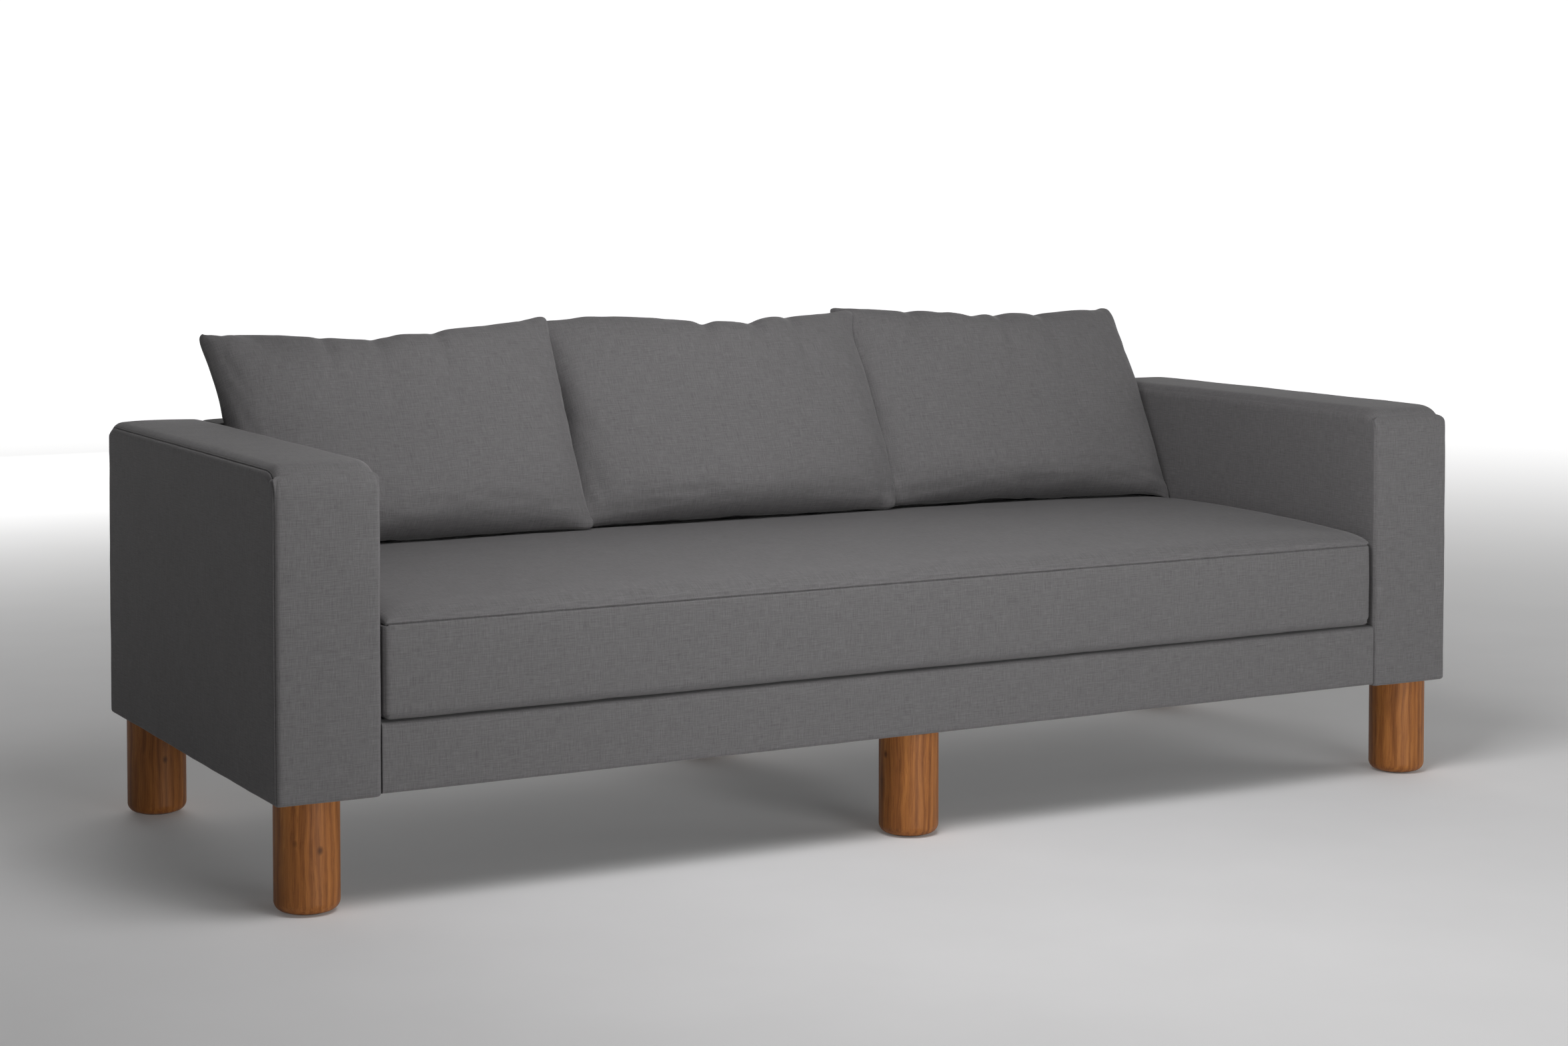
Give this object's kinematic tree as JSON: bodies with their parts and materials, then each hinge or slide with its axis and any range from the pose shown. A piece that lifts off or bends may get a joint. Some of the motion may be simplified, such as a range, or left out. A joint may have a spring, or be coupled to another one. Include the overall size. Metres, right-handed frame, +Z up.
{
  "type": "sofa",
  "caption": "Upholstered sofa with square arms, a bench seat cushion, loose leaning back pillows and round wooden legs.",
  "frame": {"origin": "on the floor under the middle of the sofa's width and depth", "axes": "+X to the sofa's right as seen from the front, along its length; +Y from front to back; +Z up"},
  "size_m": [2.24, 0.882, 0.826],
  "materials": {
    "upholstery_fabric": "plain slub weave, matt",
    "leg_wood": "satin walnut stain",
    "foam": "open-cell foam",
    "fibre_fill": "polyester fibre",
    "hardboard": "smooth brown hardboard",
    "frame_wood": "planed softwood",
    "spring_steel": "bright drawn wire",
    "deck_felt": "needled felt",
    "glide_felt": "pressed felt",
    "zinc_steel": "zinc plated",
    "brass": "turned",
    "webbing": "woven elastic strap",
    "zip_metal": "satin nickel",
    "zip_tape": "woven tape",
    "dust_cloth": "spun-bonded cloth"
  },
  "bodies": {
    "sofa_frame": {"arm_left_posts": "frame_wood", "arm_left_boards": "frame_wood", "arm_left_inner_panel": "hardboard", "arm_left_outer_panel": "hardboard", "arm_left_foam": "foam", "arm_left_cover": "upholstery_fabric", "arm_right_posts": "frame_wood", "arm_right_boards": "frame_wood", "arm_right_inner_panel": "hardboard", "arm_right_outer_panel": "hardboard", "arm_right_foam": "foam", "arm_right_cover": "upholstery_fabric", "base_front_rail": "frame_wood", "base_rear_rail": "frame_wood", "base_side_rails": "frame_wood", "base_cross_rails": "frame_wood", "base_corner_blocks": "frame_wood", "base_leg_blocks": "frame_wood", "seat_springs": "spring_steel", "spring_clips": "spring_steel", "spring_tie_wires": "spring_steel", "seat_deck_felt": "deck_felt", "front_rail_pad": "foam", "base_cover": "upholstery_fabric", "back_rails": "frame_wood", "back_posts": "frame_wood", "back_webbing": "webbing", "back_foam": "foam", "back_rear_panel": "hardboard", "back_cover": "upholstery_fabric", "leg_front_left": "leg_wood", "leg_front_center": "leg_wood", "leg_front_right": "leg_wood", "leg_rear_left": "leg_wood", "leg_rear_center": "leg_wood", "leg_rear_right": "leg_wood", "leg_glides": "glide_felt", "leg_hanger_bolts": "zinc_steel", "insert_nuts": "brass", "connector_bolts": "zinc_steel", "frame_screws": "zinc_steel", "dust_cover": "dust_cloth", "dust_cover_staples": "spring_steel"},
    "seat_cushion": {"seat_core": "foam", "seat_wrap": "fibre_fill", "seat_cover": "upholstery_fabric", "seat_zip": "zip_tape"},
    "seat_zip_slider": {"seat_zip_slider": "zip_metal"},
    "pillow_left": {"pillow_left_insert": "fibre_fill", "pillow_left_cover": "upholstery_fabric", "pillow_left_zip": "zip_tape"},
    "pillow_left_zip_slider": {"pillow_left_zip_slider": "zip_metal"},
    "pillow_center": {"pillow_center_insert": "fibre_fill", "pillow_center_cover": "upholstery_fabric", "pillow_center_zip": "zip_tape"},
    "pillow_center_zip_slider": {"pillow_center_zip_slider": "zip_metal"},
    "pillow_right": {"pillow_right_insert": "fibre_fill", "pillow_right_cover": "upholstery_fabric", "pillow_right_zip": "zip_tape"},
    "pillow_right_zip_slider": {"pillow_right_zip_slider": "zip_metal"}
  },
  "joints": [
    {"name": "seat_cushion_lift", "type": "slide", "parent": "sofa_frame", "child": "seat_cushion", "axis": [0, 0, 1], "range_m": [0, 0.42]},
    {"name": "seat_zip_slide", "type": "slide", "parent": "seat_cushion", "child": "seat_zip_slider", "axis": [1, 0, 0], "range_m": [-1.572, 0]},
    {"name": "pillow_left_lift", "type": "slide", "parent": "seat_cushion", "child": "pillow_left", "axis": [0, 0, 1], "range_m": [0, 0.25]},
    {"name": "pillow_left_zip_slide", "type": "slide", "parent": "pillow_left", "child": "pillow_left_zip_slider", "axis": [1, 0, 0], "range_m": [-0.42, 0]},
    {"name": "pillow_center_lift", "type": "slide", "parent": "seat_cushion", "child": "pillow_center", "axis": [0, 0, 1], "range_m": [0, 0.25]},
    {"name": "pillow_center_zip_slide", "type": "slide", "parent": "pillow_center", "child": "pillow_center_zip_slider", "axis": [1, 0, 0], "range_m": [-0.42, 0]},
    {"name": "pillow_right_lift", "type": "slide", "parent": "seat_cushion", "child": "pillow_right", "axis": [0, 0, 1], "range_m": [0, 0.25]},
    {"name": "pillow_right_zip_slide", "type": "slide", "parent": "pillow_right", "child": "pillow_right_zip_slider", "axis": [1, 0, 0], "range_m": [-0.42, 0]}
  ]
}
